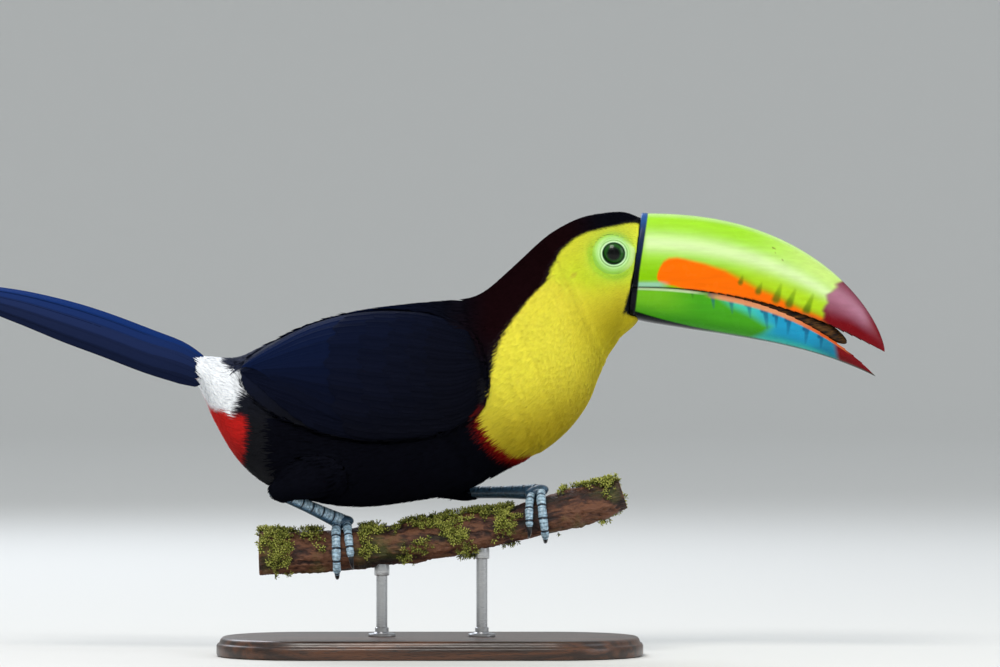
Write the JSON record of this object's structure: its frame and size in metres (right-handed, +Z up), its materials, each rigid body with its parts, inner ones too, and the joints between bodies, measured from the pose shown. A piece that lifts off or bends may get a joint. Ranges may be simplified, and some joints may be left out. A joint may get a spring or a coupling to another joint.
{
  "type": "keel-billed toucan model",
  "caption": "Life-size keel-billed toucan leaning forward along a cut branch with its long bill slightly open, held on a flat base by upright rods.",
  "frame": {"origin": "centre of the display base's flat underside", "axes": "+X is forward, from the tail to the bill's tip; +Y is the bird's left; +Z is up, from the base's underside to the crown"},
  "size_m": [0.4968, 0.112, 0.2385],
  "materials": {
    "black_plumage": "sooty black feathers, navy where light catches them",
    "yellow_plumage": "lemon yellow feathers of the face, throat and breast",
    "rump_plumage": "white feathers above and scarlet ones below the tail's root",
    "tail_feathers": "blue-black flight feathers with a faint gloss",
    "upper_bill": "glossy lime green horn with an orange patch and a maroon tip",
    "lower_bill": "glossy green horn turning sky blue, with a dark red tip",
    "eye": "wet dark green and black",
    "leg_skin": "steel-blue scaly skin",
    "claw_horn": "near-black horn",
    "branch": "rough brown bark with moss, pale sawn ends",
    "stand_wood": "dark stained hardwood with satin varnish",
    "stand_metal": "brushed stainless steel"
  },
  "bodies": {
    "root": {"head": "yellow_plumage", "neck": "yellow_plumage", "trunk": "black_plumage", "wing_left": "black_plumage", "wing_right": "black_plumage", "thigh_left": "black_plumage", "thigh_right": "black_plumage", "rump": "rump_plumage", "tail": "tail_feathers", "bill_upper": "upper_bill", "bill_lower": "lower_bill", "eye_left": "eye", "eye_right": "eye", "tarsus_left": "leg_skin", "toe_second_left": "leg_skin", "claw_second_left": "claw_horn", "toe_third_left": "leg_skin", "claw_third_left": "claw_horn", "toe_fourth_left": "leg_skin", "claw_fourth_left": "claw_horn", "toe_hind_left": "leg_skin", "claw_hind_left": "claw_horn", "tarsus_right": "leg_skin", "toe_second_right": "leg_skin", "claw_second_right": "claw_horn", "toe_third_right": "leg_skin", "claw_third_right": "claw_horn", "toe_fourth_right": "leg_skin", "claw_fourth_right": "claw_horn", "toe_hind_right": "leg_skin", "claw_hind_right": "claw_horn", "perch_branch": "branch", "stand_base": "stand_wood", "stand_rod_rear": "stand_metal", "stand_rod_front": "stand_metal"}
  },
  "joints": []
}
